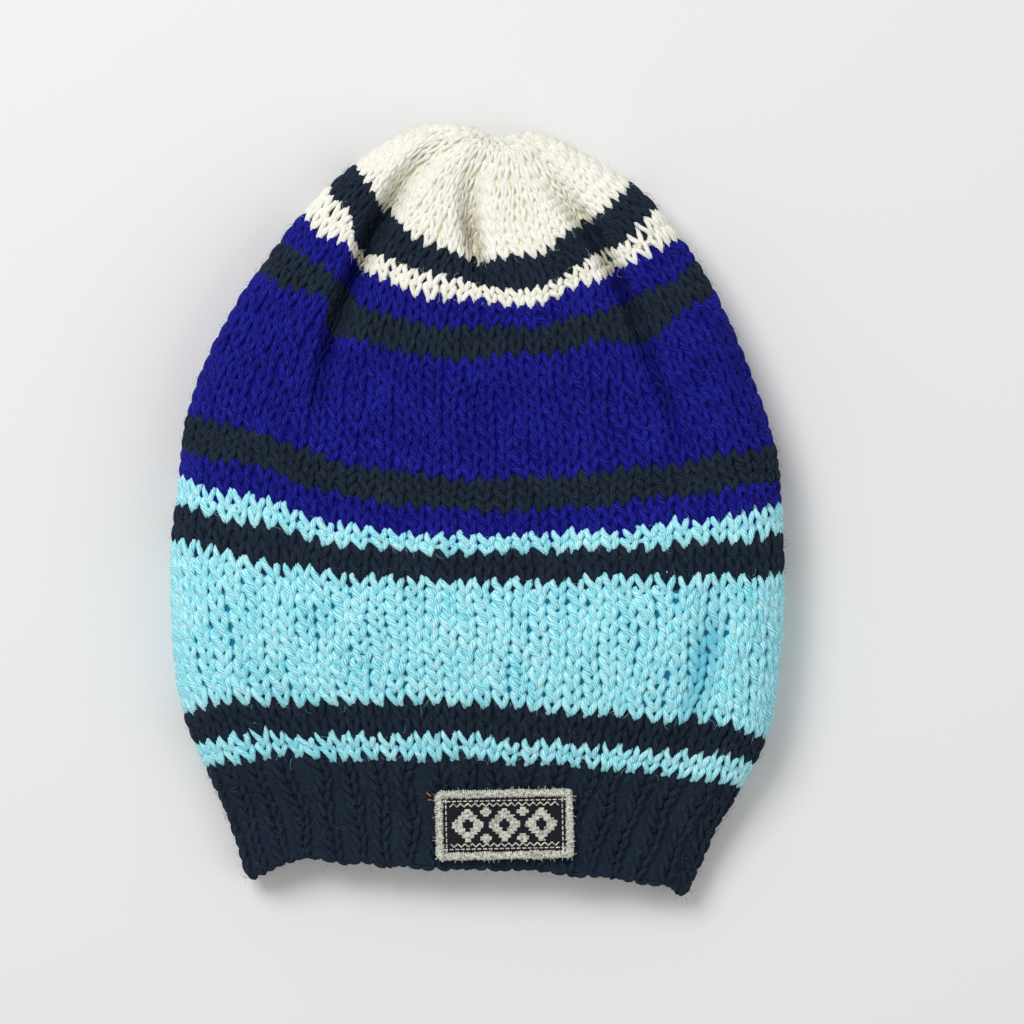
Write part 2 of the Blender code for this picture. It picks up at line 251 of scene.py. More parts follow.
@functools.lru_cache(maxsize=None)
def half_course(course, side):
    """The front (side +1) or back (side -1) of a course: share of its stitches, x, y, z, painted
    shade.
    """
    section = section_at(course)
    turn = np.linspace(-1, 1, OUTLINE_SAMPLES)
    plan_x, plan_y = plan_curve(section, turn)
    run = np.concatenate(([0], np.cumsum(np.hypot(np.diff(plan_x), np.diff(plan_y)))))
    across = -np.cos(np.linspace(0, math.pi, OUTLINE_SAMPLES))
    x = np.interp((across + 1) / 2 * run[-1], run, plan_x)
    y = np.interp((across + 1) / 2 * run[-1], run, plan_y)
    low = section.under * HAT_THICKNESS
    high = section.top * HAT_THICKNESS
    edge = low + SIDE_HEIGHT * (high - low)
    depth, crowd, shade = creases_at(course, side, across)
    if side > 0:
        swell = side_rounding(across, run[-1] / 2, high - edge, FRONT_REACH)
        dome = DOME * (1 - across**2)
        z = edge + (high - edge) * (swell * (1 - DOME) + dome) - depth
    else:
        swell = side_rounding(across, run[-1] / 2, edge - low, BACK_REACH)
        z = edge - (edge - low) * swell + depth
    steps = np.sqrt(np.diff(x) ** 2 + np.diff(y) ** 2 + np.diff(z) ** 2)
    steps = steps * (1 + (crowd[1:] + crowd[:-1]) / 2)
    length = np.concatenate(([0], np.cumsum(steps)))
    return length / length[-1], x, y, z, shade


def course_points(course, stitches):
    """Points on the outside of a course, and the painted shade of a crease at each of them.

    Stitch 0 is the left end of the course and WALES / 2 its right end.
    """
    half = WALES / 2
    stitches = np.mod(stitches, WALES)
    points = np.empty((len(stitches), 4))
    on_front = stitches <= half
    for side, chosen, share in (
        (+1, on_front, stitches / half),
        (-1, ~on_front, 2 - stitches / half),
    ):
        run, *values = half_course(round(course, 6), side)
        for number, value in enumerate(values):
            points[chosen, number] = np.interp(share[chosen], run, value)
    return points


# How far the courses ride up, in courses, at places across the hat in shares of its half width:
# folds and handling have pulled them out of their even curves.
Ride = namedtuple(
    "Ride",
    "course at_90l at_67l at_53l at_46l at_36l at_18l at_0 at_18r at_36r at_54r at_72r "
    "at_94r",
)
RIDE_PLACES = (
    -0.898, -0.673, -0.535, -0.457, -0.359, -0.180, 0.0, 0.180, 0.359, 0.539, 0.718, 0.943,
)
RIDES = (
    Ride(0, 0.0, 0.0, 0.0, 0.0, 0.0, 0.0, 0.0, 0.0, 0.0, 0.0, 0.0, 0.0),
    Ride(9, 0.3, 0.2, 0.0, -0.1, -0.2, 0.0, 0.1, -0.1, -0.2, -0.5, -0.3, 0.2),
    Ride(11, -0.1, -0.3, -0.5, -0.6, -0.5, -0.2, -0.2, -0.6, -0.5, -0.9, -0.4, 0.2),
    Ride(13, -0.1, -0.3, -0.5, -0.4, -0.1, -0.1, 0.1, -0.2, -0.2, -0.4, 0.0, 0.1),
    Ride(23, 0.1, -0.1, -0.3, -0.3, -0.3, -0.3, 0.0, 0.1, 0.5, 0.6, 0.4, 0.2),
    Ride(25, 0.3, 0.4, 0.1, 0.0, 0.0, 0.2, 0.3, 0.8, 0.8, 0.8, 0.6, 0.5),
    Ride(27, 0.3, 0.6, 0.1, -0.1, -0.3, -0.2, -0.1, 0.3, 0.3, 0.5, 0.5, 0.4),
    Ride(29, 0.5, 1.0, 0.3, 0.1, 0.0, 0.0, 0.1, 0.2, 0.4, 0.7, 0.6, 0.5),
    Ride(32, 0.3, 0.7, -0.1, -0.3, -0.3, -0.5, -0.5, -0.2, 0.0, 0.2, 0.2, 0.2),
    Ride(41, 1.2, 1.2, 1.9, -0.25, 0.2, -0.3, -0.1, 0.0, 0.25, -0.6, 0.55, 0.3),
    Ride(43, 1.1, 0.9, 1.35, 0.8, 0.1, -0.2, 0.1, 0.1, 0.4, 0.7, 0.8, 0.8),
    Ride(45, 0.5, 0.5, 0.5, 1.05, 0.1, -0.3, -0.1, -0.35, 0.8, 1.15, 0.3, 0.8),
    Ride(47, 0.6, 0.6, 0.8, 1.05, -0.6, -0.3, -0.5, -0.9, 0.7, 0.65, 0.4, 0.5),
    Ride(49, 1.0, 1.0, 1.0, 1.0, 0.85, 0.1, -0.3, 0.05, 1.32, 0.85, 1.3, 1.3),
    Ride(59, 0.0, 0.0, 0.0, 0.0, 0.0, 0.0, 0.0, 0.0, 0.0, 0.0, 0.0, 0.0),
)

# the hem hangs in shallow scallops: how far it rides up at places across the hat
HEM_PLACES = (
    -0.76, -0.72, -0.68, -0.64, -0.59, -0.54, -0.49, -0.44, -0.39, -0.34, -0.30, -0.25,
    -0.10, 0.09, 0.19, 0.28, 0.48, 0.62, 0.67, 0.72,
)
HEM_RIDES = (
    -0.5, -0.3, 0.0, 0.35, 0.6, 0.65, 0.5, 0.25, 0.4, 0.35, -0.1, 0.2,
    0.0, 0.25, 0.15, 0.0, -0.15, -0.1, -0.4, -0.7,
)
HEM_COURSES = 5.0
HEM_SHARPNESS = 1.5
HEM_MOST = 1.1


def ride_at(x, courses):
    """The table of rides read at any place across the hat and any course."""
    hem_share = np.clip(1 - courses / HEM_COURSES, 0, HEM_MOST) ** HEM_SHARPNESS
    hem = np.interp(x / (HAT_WIDTH / 2), HEM_PLACES, HEM_RIDES) * hem_share
    table = np.array(RIDES, dtype=float)
    place = np.interp(x / (HAT_WIDTH / 2), RIDE_PLACES, np.arange(len(RIDE_PLACES)))
    row = np.interp(courses, table[:, 0], np.arange(len(table)))
    left = np.minimum(place.astype(int), len(RIDE_PLACES) - 2)
    low = np.minimum(row.astype(int), len(table) - 2)
    f, g = row - low, place - left
    f, g = f * f * (3 - 2 * f), g * g * (3 - 2 * g)
    values = table[:, 1:]
    lower = values[low, left] * (1 - g) + values[low, left + 1] * g
    upper = values[low + 1, left] * (1 - g) + values[low + 1, left + 1] * g
    return lower * (1 - f) + upper * f + hem


# The outside of the knitting is read once on a fine net of courses and stitches, with the way out
# of the wall, the width of a stitch and the painted shade of creases at each knot of the net.
NET_STEP = 0.25
NET_LOW = -0.75
NET_HIGH = 59.5
TINY = 1e-12

net_courses = np.arange(NET_LOW, NET_HIGH + NET_STEP / 2, NET_STEP)
net_stitches = np.arange(0, WALES, NET_STEP)
net = np.array([course_points(c, net_stitches) for c in net_courses])
net_points, net_shade = net[..., :3], net[..., 3]
net_along = np.roll(net_points, -2, axis=1) - np.roll(net_points, 2, axis=1)
net_upward = np.gradient(net_points, axis=0)
net_out = np.cross(net_along, net_upward)
net_out /= np.linalg.norm(net_out, axis=2, keepdims=True) + TINY
net_pitch = np.linalg.norm(net_along, axis=2)
LAST_ROW = len(net_courses) - 1.001


def read_net(values, courses, stitches):
    """Reads one of the nets at any courses and stitches."""
    row = np.clip((courses - NET_LOW) / NET_STEP, 0, LAST_ROW)
    column = np.mod(stitches, WALES) / NET_STEP
    low, left = np.floor(row).astype(int), np.floor(column).astype(int)
    f, g = row - low, column - left
    left = left % len(net_stitches)
    right = (left + 1) % len(net_stitches)
    if values.ndim == 3:
        f, g = f[..., None], g[..., None]
    lower = values[low, left] * (1 - g) + values[low, right] * g
    upper = values[low + 1, left] * (1 - g) + values[low + 1, right] * g
    return lower * (1 - f) + upper * f


def unit(vectors):
    return vectors / (np.linalg.norm(vectors, axis=-1, keepdims=True) + TINY)


# how far on in its own fibres each thread starts after the one before it, in centimetres
THREAD_SHIFT = 1.37


def thread_mesh(name, paths, outward, flat, tall, sides, closed):
    """Tubes along many paths at once, with a map that runs along each thread and round it.

    paths and outward are arrays of threads by points by 3. flat is the tube's half width across
    outward and tall its half height along it. The map's u is the length in centimetres.
    """
    threads, count, _ = paths.shape
    if closed:
        ahead = np.roll(paths, -1, axis=1) - np.roll(paths, 1, axis=1)
    else:
        ahead = np.gradient(paths, axis=1)
    ahead = unit(ahead)
    across = unit(np.cross(ahead, outward))
    up = np.cross(across, ahead)
    turn = 2 * math.pi * np.arange(sides) / sides
    ring = (
        across[:, :, None] * (flat[..., None] * np.cos(turn))[..., None]
        + up[:, :, None] * (tall[..., None] * np.sin(turn))[..., None]
    )
    points = (paths[:, :, None] + ring).reshape(-1, 3)
    spans = count if closed else count - 1
    i = np.arange(spans)
    k = np.arange(sides)
    first = (np.arange(threads) * count)[:, None, None]
    here = (first + i[None, :, None]) * sides
    there = (first + ((i + 1) % count)[None, :, None]) * sides
    k_next = (k + 1) % sides
    quads = np.stack([here + k, there + k, there + k_next, here + k_next], axis=-1)
    quads = quads.reshape(-1, 4)
    steps = np.linalg.norm(np.roll(paths, -1, axis=1) - paths, axis=2)[:, :spans]
    reached = np.concatenate([np.zeros((threads, 1)), np.cumsum(steps, axis=1)], axis=1)
    reached = reached * 100 + THREAD_SHIFT * np.arange(threads)[:, None]
    u = np.broadcast_to(reached[:, :, None], (threads, spans + 1, sides))
    v = np.broadcast_to(k[None, None] / sides, (threads, spans, sides))
    u0, u1 = u[:, :-1], u[:, 1:]
    v0, v1 = v, v + 1 / sides
    corners = np.stack([u0, v0, u1, v0, u1, v1, u0, v1], axis=-1).reshape(-1, 2)
    faces = quads.tolist()
    if not closed:
        starts = first[:, 0] * sides + k[::-1]
        ends = (first[:, 0] + count - 1) * sides + k
        faces += starts.tolist() + ends.tolist()
        round_end = np.stack([np.zeros(sides), k / sides], axis=-1)
        corners = np.concatenate([corners] + [round_end] * (2 * threads))
    mesh = bpy.data.meshes.new(name)
    mesh.from_pydata(points.tolist(), [], faces)
    layer = mesh.uv_layers.new(name="yarn")
    layer.data.foreach_set("uv", corners.reshape(-1))
    mesh.shade_smooth()
    return mesh


def add_piece(name, mesh, material, nodes):
    """Puts a finished mesh on the hat's one body, in place of the named solids, if any."""
    mesh.materials.append(material)
    piece = bpy.data.objects.new(name, mesh)
    bpy.context.scene.collection.objects.link(piece)
    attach(piece, "root")
    if nodes:
        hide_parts(*nodes)


# Plied acrylic yarn: soft plies wind round each other, with fine bright and dark fibres along them.
# Their colour paints shade in the grooves between the plies and highlights on the crests and on
# the bright fibres.
Twist = namedtuple(
    "Twist", "plies turns_per_cm relief fibre_scale fibre_along blotch_scale blotch"
)
YARN_TWIST = Twist(7, -0.95, 0.00012, 5.6, 0.85, 90.0, 0.3)
SMOOTH_TWIST = Twist(7, -0.95, 0.00006, 4.4, 0.80, 90.0, 0.3)

# The colours of a yarn: of its dark, usual and bright fibres, where the dark colour is also painted
# shade in the grooves between the plies and the bright one a painted highlight on their crests; of
# the felt behind its loops, painted shade for their eyes; and of its loops in a crease, painted shade.
# The last two are left out of thread that has neither.
Yarn = namedtuple("Yarn", "deep base bright sheen felt fold", defaults=(None, None))
YARNS = {
    "black": Yarn(
        deep=(0.005, 0.008, 0.016),
        base=(0.010, 0.018, 0.032),
        bright=(0.021, 0.035, 0.058),
        sheen=0.30,
        felt=(0.016, 0.026, 0.044),
        fold=(0.006, 0.010, 0.019),
    ),
    "royal": Yarn(
        deep=(0.003, 0.003, 0.068),
        base=(0.004, 0.004, 0.132),
        bright=(0.022, 0.024, 0.400),
        sheen=0.10,
        felt=(0.008, 0.008, 0.220),
        fold=(0.003, 0.003, 0.055),
    ),
    "light_blue": Yarn(
        deep=(0.045, 0.430, 0.630),
        base=(0.230, 0.830, 0.930),
        bright=(0.800, 1.000, 1.000),
        sheen=0.05,
        felt=(0.018, 0.200, 0.320),
        fold=(0.070, 0.480, 0.640),
    ),
    "white": Yarn(
        deep=(0.660, 0.640, 0.540),
        base=(0.900, 0.885, 0.790),
        bright=(0.950, 0.940, 0.880),
        sheen=0.05,
        felt=(0.860, 0.800, 0.620),
        fold=(0.380, 0.350, 0.210),
    ),
}

# how the painted shade and highlights of plies and fibres and the blotches add up, and where in it
# the three colours lie
PLY_SHARPNESS = 0.7
PLY_CONTRAST = 0.42
FIBRE_CONTRAST = 2.1
FIBRE_LEVEL = -0.86
BLOTCH_LEVEL = 0.15
DEEP_AT, BASE_AT, BRIGHT_AT = 0.20, 0.55, 0.95
FIBRE_ROUGHNESS = 0.6
FIBRE_RELIEF = 1.2
SHEEN_ROUGHNESS = 0.5
YARN_ROUGHNESS, YARN_SPECULAR = 0.8, 0.08

# how far the shade painted in a crease takes the yarn towards its fold colour
FOLD_SHADE_MIX = 0.85


def add_noise(nodes, link, vector, scale, roughness=0.5):
    """Noise over a vector output, as its grey output."""
    noise = nodes.new("ShaderNodeTexNoise")
    noise.inputs["Scale"].default_value = scale
    noise.inputs["Detail"].default_value = 2.0
    noise.inputs["Roughness"].default_value = roughness
    link(vector, noise.inputs["Vector"])
    return noise.outputs["Fac"]


def add_ramp(nodes, link, value, *stops):
    """Colours by value, through stops of a place and a colour, the two ends first."""
    ramp = nodes.new("ShaderNodeValToRGB")
    elements = ramp.color_ramp.elements
    for number, (place, colour) in enumerate(stops):
        if number < 2:
            element = elements[number]
            element.position = place
        else:
            element = elements.new(place)
        element.color = (*colour, 1)
    link(value, ramp.inputs["Fac"])
    return ramp.outputs["Color"]


def add_bump(nodes, link, height, depth, shader):
    """Relief of a depth in metres, from a height output."""
    bump = nodes.new("ShaderNodeBump")
    bump.inputs["Strength"].default_value = 1.0
    bump.inputs["Distance"].default_value = depth
    link(height, bump.inputs["Height"])
    link(bump.outputs["Normal"], shader.inputs["Normal"])


def yarn_material(name, yarn, twist, roughness=YARN_ROUGHNESS, specular=YARN_SPECULAR):
    """A yarn's plies and fibres, drawn along the thread by its own map, with shade painted in the ply
    grooves and creases and highlights painted on the ply crests and bright fibres.
    """
    material, nodes, link, shader = plain_material(name, roughness, specular)

    def maths(operation, *values):
        node = nodes.new("ShaderNodeMath")
        node.operation = operation
        for socket, value in zip(node.inputs, values):
            if isinstance(value, (int, float)):
                socket.default_value = value
            else:
                link(value, socket)
        return node.outputs[0]

    thread_map = nodes.new("ShaderNodeUVMap")
    thread_map.uv_map = "yarn"
    split = nodes.new("ShaderNodeSeparateXYZ")
    link(thread_map.outputs["UV"], split.inputs["Vector"])
    along, around = split.outputs["X"], split.outputs["Y"]
    wound = maths("MULTIPLY_ADD", along, twist.turns_per_cm, around)
    wave = maths("SINE", maths("MULTIPLY", wound, math.pi * twist.plies))
    ply = maths("POWER", maths("ABSOLUTE", wave), PLY_SHARPNESS)

    angle = maths("MULTIPLY", wound, 2 * math.pi)
    fibre_place = nodes.new("ShaderNodeCombineXYZ")
    link(maths("COSINE", angle), fibre_place.inputs["X"])
    link(maths("SINE", angle), fibre_place.inputs["Y"])
    link(maths("MULTIPLY", along, twist.fibre_along), fibre_place.inputs["Z"])
    fibres = add_noise(nodes, link, fibre_place.outputs["Vector"], twist.fibre_scale, FIBRE_ROUGHNESS)
    place = nodes.new("ShaderNodeTexCoord")
    blotch = add_noise(nodes, link, place.outputs["Object"], twist.blotch_scale)

    # the tone paints shade where it is low, in the ply grooves and on dark fibres, and highlights
    # where it is high, on the ply crests and bright fibres
    strands = maths("MULTIPLY_ADD", fibres, FIBRE_CONTRAST, FIBRE_LEVEL)
    tone = maths("MULTIPLY_ADD", ply, PLY_CONTRAST, strands)
    patches = maths("MULTIPLY_ADD", blotch, twist.blotch, BLOTCH_LEVEL - twist.blotch / 2)
    colour = add_ramp(
        nodes,
        link,
        maths("ADD", tone, patches),
        (DEEP_AT, yarn.deep),
        (BRIGHT_AT, yarn.bright),
        (BASE_AT, yarn.base),
    )
    # painted shade in creases: the fold attribute mixes the yarn's colour towards its fold colour
    if yarn.fold:
        fold = nodes.new("ShaderNodeAttribute")
        fold.attribute_name = "fold"
        shaded = nodes.new("ShaderNodeMix")
        shaded.data_type = "RGBA"
        link(maths("MULTIPLY", fold.outputs["Fac"], FOLD_SHADE_MIX), shaded.inputs["Factor"])
        link(colour, shaded.inputs["A"])
        shaded.inputs["B"].default_value = (*yarn.fold, 1)
        colour = shaded.outputs["Result"]
    link(colour, shader.inputs["Base Color"])

    relief = maths("MULTIPLY_ADD", fibres, FIBRE_RELIEF, ply)
    add_bump(nodes, link, relief, twist.relief, shader)
    shader.inputs["Sheen Weight"].default_value = yarn.sheen
    shader.inputs["Sheen Roughness"].default_value = SHEEN_ROUGHNESS
    shader.inputs["Sheen Tint"].default_value = (*yarn.bright, 1)
    return material


yarn_materials = {}
felt_shade_materials = {}
for name, yarn in YARNS.items():
    twist = SMOOTH_TWIST if name == "white" else YARN_TWIST
    yarn_materials[name] = yarn_material(name + "_yarn", yarn, twist)
    # the felt's material: one flat colour of painted shade for the eyes of the loops
    felt_shade_materials[name], _, _, shader = plain_material(name + "_felt", roughness=1.0, specular=0.0)
    shader.inputs["Base Color"].default_value = (*yarn.felt, 1)

# One stitch is a loop that rises, leans out, arches over and comes down again, and its legs pass in
# front of the head of the loop below. Lengths across are in stitches, heights in courses.
YARN_RADIUS = 0.00140
YARN_SIDES = 6
FRONT_STEPS = 16
BACK_STEPS = 10
LOOP_HEIGHT = 0.76
LOOP_WAIST = 0.23
LOOP_SKEW = 0.075
LOOP_CLOSE = 0.03
LOOP_DEPTH = 0.00085
USUAL_PITCH = 0.0062
YARN_KEEPS = 0.25
EDGE_THIN = 0.86
EDGE_SINK = 0.0005
DARK_YARNS = ("black", "royal")
UNEVEN_ACROSS = 0.09
UNEVEN_UP = 0.10
UNEVEN_SIZE = 0.12
UNEVEN_DEPTH = 0.00022
SEEDS_APART = 20
FOOT_SHARPNESS = 4
NARROWEST, WIDEST = 0.42, 1.05
TALL_KEEPS = 0.45
PAST_TOP = 0.1

# the loops wander off their places in slow waves round the hat, which also climb it
WANDER = 0.16
Wave = namedtuple("Wave", "share turns climb start")
SLOW_WAVE = Wave(1.0, 9, 0.55, 0.0)
SLOW_SWELL = Wave(1.0, 0, 0.42, 1.3)
QUICK_WAVE = Wave(0.7, 17, -0.8, 2.0)
RISING_WAVE = Wave(0.8, 13, 0.7, 0.5)

KNIT_SPREAD = 0.14
RIB_LOOP_DEPTH = 0.00085
HEM_SHIFT = 0.42


def wave_at(wave, turn, height):
    return wave.share * np.sin(wave.turns * turn + wave.climb * height + wave.start)


def knit(first, courses, ribbed, seed, together, edges):
    """The centre lines of some courses, with the way out, the yarn's size and the creases' painted
    shade.

    together is how many stitches are drawn into one loop, as near the gather. edges are the
    courses beside another colour, which pulls their loops thin.
    """
    rng = np.random.default_rng(seed)
    loops = WALES // together
    half = loops / 2
    steps = np.concatenate(
        [
            np.arange(int(half * FRONT_STEPS)) / FRONT_STEPS,
            half + np.arange(int(half * BACK_STEPS)) / BACK_STEPS,
        ]
    )
    wale = np.floor(steps).astype(int)
    t = 2 * math.pi * steps
    row = first + np.arange(courses)[:, None]
    head = (1 - np.cos(t)) / 2
    uneven = rng.normal(size=(4, courses, loops))[:, :, wale]
    across = steps + LOOP_WAIST * np.sin(2 * t) + LOOP_SKEW * np.cos(t)
    across = across + LOOP_CLOSE * np.sin(t)
    across = (across + uneven[0] * UNEVEN_ACROSS * head) * together
    height = row + 0.5 - LOOP_HEIGHT * np.cos(t) + uneven[1] * UNEVEN_UP * head
    turn = 2 * math.pi * across / WALES
    slow = wave_at(SLOW_WAVE, turn, height) * wave_at(SLOW_SWELL, turn, height)
    across = across + WANDER * (slow + wave_at(QUICK_WAVE, turn, height))
    height = height + WANDER * wave_at(RISING_WAVE, turn, height)
    height = height + ride_at(read_net(net_points[..., 0], height, across), height)
    size = 1 + uneven[2] * UNEVEN_SIZE * head
    size = size * np.where(np.isin(row, edges), EDGE_THIN, 1.0)
    if ribbed:
        across = across + KNIT_SPREAD * np.sin(math.pi * (across - 0.5))
        face = np.where(wale % 2 == 0, 1.0, -1.0)
        lift = face * RIB_LOOP_DEPTH * (1 - np.cos(2 * t)) - RIB_LOOP_DEPTH
        height = HEM_SHIFT + height * (RIB_COURSES - HEM_SHIFT) / RIB_COURSES
    else:
        lift = -LOOP_DEPTH * np.cos(2 * t)
    lift = lift + uneven[3] * UNEVEN_DEPTH * head
    if edges:
        foot = (1 - head) ** FOOT_SHARPNESS
        lift = lift - np.where(row == edges[0], EDGE_SINK, 0.0) * foot
    deepest = RIB_LOOP_DEPTH if ribbed else LOOP_DEPTH
    height = np.minimum(height, TOP_COURSE + PAST_TOP)
    points = read_net(net_points, height, across)
    outward = unit(read_net(net_out, height, across))
    pitch = read_net(net_pitch, height, across) * together
    narrow = np.clip(pitch / USUAL_PITCH, NARROWEST, WIDEST)
    flat = YARN_RADIUS * size * (YARN_KEEPS + (1 - YARN_KEEPS) * narrow)
    tall = YARN_RADIUS * size * (TALL_KEEPS + (1 - TALL_KEEPS) * narrow)
    points = points + outward * (lift - deepest - tall)[..., None]
    points[..., 2] = np.maximum(points[..., 2], tall)
    # the shade painted on the yarn in creases
    fold = read_net(net_shade, height, across)
    return points, outward, flat, tall, fold


# Loose fibres felted together behind the loops, so that no light comes through their eyes. The felt's
# colour is painted shade for those eyes: lighter than the yarn's own in the black and royal stripes,
# darker in the light blue and white. Where the colour changes, the darker stripe's fibres reach in
# behind the first loops of the lighter one.
FELT_DEPTHS = {"black": 0.0019, "royal": 0.0019, "light_blue": 0.0024, "white": 0.0024}
RIB_FELT_DEPTH = 0.0020
TOP_FELT_DEPTH = 0.0017
FELT_STEP = 0.5
FELT_START = 0.35
DARK_REACHES_UP = 0.5
DARK_REACHES_DOWN = 0.95


def felt_edge(course, below, above):
    """The height at which the felt of one colour gives way to the next."""
    if below in DARK_YARNS and above not in DARK_YARNS:
        return course + DARK_REACHES_UP
    if above in DARK_YARNS and below not in DARK_YARNS:
        return course - DARK_REACHES_DOWN
    return course


def felt(low, high, depth):
    """Points and faces of the felted fibres between two heights, as one sheet round the hat that
    carries painted shade.

    At the gather the sheet closes on itself.
    """
    rows = np.linspace(low, high, int((high - low) / FELT_STEP) + 2)
    columns = np.arange(0, WALES, FELT_STEP)
    height, across = np.meshgrid(rows, columns, indexing="ij")
    height = height + ride_at(read_net(net_points[..., 0], height, across), height)
    points = read_net(net_points, height, across)
    points = points - read_net(net_out, height, across) * depth
    i = np.arange(len(rows) - 1)[:, None] * len(columns)
    k = np.arange(len(columns))
    k_next = (k + 1) % len(columns)
    up = len(columns)
    quads = np.stack([i + k, i + k_next, i + k_next + up, i + k + up], axis=-1)
    faces = quads.reshape(-1, 4).tolist()
    points = points.reshape(-1, 3)
    if high == TOP_COURSE:
        last = len(points) - len(columns)
        faces += np.stack([last + k, last + k_next, 0 * k + len(points)], axis=-1).tolist()
        points = np.concatenate([points, points[last:].mean(axis=0, keepdims=True)])
    return points, faces


def knitted_piece(name, yarn, groups, ribbed, node, felt_span, felt_depth):
    """One stripe: its courses of loops, with the felt behind them, and the shade painted on the loops
    in creases.
    """
    bm = bmesh.new()
    painted_fold_shades = []
    edges = []
    if yarn not in DARK_YARNS:
        edges = [groups[0][0], sum(groups[-1][:2]) - 1]
    for number, (start, courses, together) in enumerate(groups):
        centres, outward, flat, tall, fold = knit(
            start, courses, ribbed, SEEDS_APART * start + number, together, edges
        )
        mesh = thread_mesh(name, centres, outward, flat, tall, YARN_SIDES, True)
        bm.from_mesh(mesh)
        bpy.data.meshes.remove(mesh)
        painted_fold_shades.append(np.repeat(fold.ravel(), YARN_SIDES))
    points, faces = felt(*felt_span, felt_depth)
    painted_fold_shades.append(np.zeros(len(points)))
    mesh = bpy.data.meshes.new(name)
    mesh.from_pydata(points.tolist(), [], faces)
    mesh.polygons.foreach_set("material_index", np.ones(len(faces), dtype=int))
    mesh.shade_smooth()
    bm.from_mesh(mesh)
    bm.to_mesh(mesh)
    bm.free()
    # the painted shade of creases, kept on each point for the yarn's colour; none on the felt
    shade = mesh.attributes.new("fold", "FLOAT", "POINT")
    shade.data.foreach_set("value", np.concatenate(painted_fold_shades).astype(np.float32))
    mesh.materials.append(yarn_materials[yarn])
    add_piece(name, mesh, felt_shade_materials[yarn], [node])


FIRST_STRIPE_YARN = "light_blue"
felt_low = felt_edge(RIB_COURSES, "black", FIRST_STRIPE_YARN)
knitted_piece(
    "rib_band_knitting",
    "black",
    [(0, RIB_COURSES, 1)],
    True,
    "rib_band",
    (FELT_START, felt_low),
    RIB_FELT_DEPTH,
)

# The crown. It is one tube of stockinette in the same yarn, where every stripe is a change of colour
# at the start of a course, so that each stripe's loops hang in the heads of the stripe below.

Stripe = namedtuple("Stripe", "name yarn courses")
STRIPES = (
    Stripe("first_blue_line", FIRST_STRIPE_YARN, 2),
    Stripe("first_black_line", "black", 2),
    Stripe("light_blue_ground", "light_blue", 10),
    Stripe("second_black_line", "black", 2),
    Stripe("second_blue_line", "light_blue", 2),
    Stripe("first_royal_line", "royal", 2),
    Stripe("third_black_line", "black", 3),
    Stripe("royal_ground", "royal", 9),
    Stripe("fourth_black_line", "black", 2),
    Stripe("second_royal_line", "royal", 2),
    Stripe("white_line", "white", 2),
    Stripe("fifth_black_line", "black", 2),
    Stripe("white_top", "white", 10),
)

# courses from which the gather draws two and then four stitches into one loop
PAIRS_FROM = 55
FOURS_FROM = 57

yarn_courses = {"black": [(0, RIB_COURSES)]}
reached = RIB_COURSES
for number, stripe in enumerate(STRIPES):
    groups = [(reached, stripe.courses, 1)]
    felt_high = TOP_COURSE
    if number + 1 < len(STRIPES):
        next_yarn = STRIPES[number + 1].yarn
        felt_high = felt_edge(reached + stripe.courses, stripe.yarn, next_yarn)
    if stripe.name == "white_top":
        groups = [
            (reached, PAIRS_FROM - reached, 1),
            (PAIRS_FROM, FOURS_FROM - PAIRS_FROM, 2),
            (FOURS_FROM, TOP_COURSE - FOURS_FROM, 4),
        ]
    knitted_piece(
        stripe.name,
        stripe.yarn,
        groups,
        False,
        "crown",
        (felt_low, felt_high),
        TOP_FELT_DEPTH if stripe.name == "white_top" else FELT_DEPTHS[stripe.yarn],
    )
    yarn_courses.setdefault(stripe.yarn, []).append((reached, stripe.courses))
    felt_low = felt_high
    reached += stripe.courses

# The label. A strip of black twill is embroidered with a row of stepped lozenges, overlocked all
# round in silver cream thread, and sewn flat on the front of the band by its rim.

LABEL_WIDTH = 0.050
LABEL_HEIGHT = 0.0256
LABEL_CORNER = 0.0026
LABEL_TILT = math.radians(1.2)
LABEL_ACROSS = 0.087
LABEL_UP = 0.0886
LABEL_SEAT = 0.0004
GROUND_THICKNESS = 0.0011
BORDER_WIDTH = 0.0032
BORDER_HEIGHT = 0.0022

# the band's front is read at these steps, a little past its top
BAND_STEP = 0.25
BAND_PAST_TOP = 2.0


def on_band(across, up, lift):
    """Points of the label's own plane laid on the front of the band, lift above it."""
    x = LABEL_ACROSS * HAT_WIDTH / 2 + across * math.cos(LABEL_TILT)
    x = x - up * math.sin(LABEL_TILT)
    y = (LABEL_UP - 0.5) * HAT_LENGTH + across * math.sin(LABEL_TILT)
    y = y + up * math.cos(LABEL_TILT)
    courses = np.arange(0, RIB_COURSES + BAND_PAST_TOP, BAND_STEP)
    rows = [half_course(course, +1) for course in courses]
    ups = np.array([np.interp(x, row_x, row_y) for _, row_x, row_y, _, _ in rows])
    heights = np.array([np.interp(x, row_x, row_z) for _, row_x, _, row_z, _ in rows])
    low = np.clip((ups < y).sum(axis=0) - 1, 0, len(rows) - 2)
    point = np.arange(len(x))
    f = (y - ups[low, point]) / (ups[low + 1, point] - ups[low, point])
    z = heights[low, point] * (1 - f) + heights[low + 1, point] * f
    return np.stack([x, y, z + lift], axis=-1)


def upright_threads(name, paths, wide, high, sides, closed=False):
    """Threads of one thickness that lie on the label, wide across and high upwards."""
    up = np.broadcast_to((0.0, 0.0, 1.0), paths.shape)
    even = np.ones(paths.shape[:2])
    return thread_mesh(name, paths, up, wide * even, high * even, sides, closed)


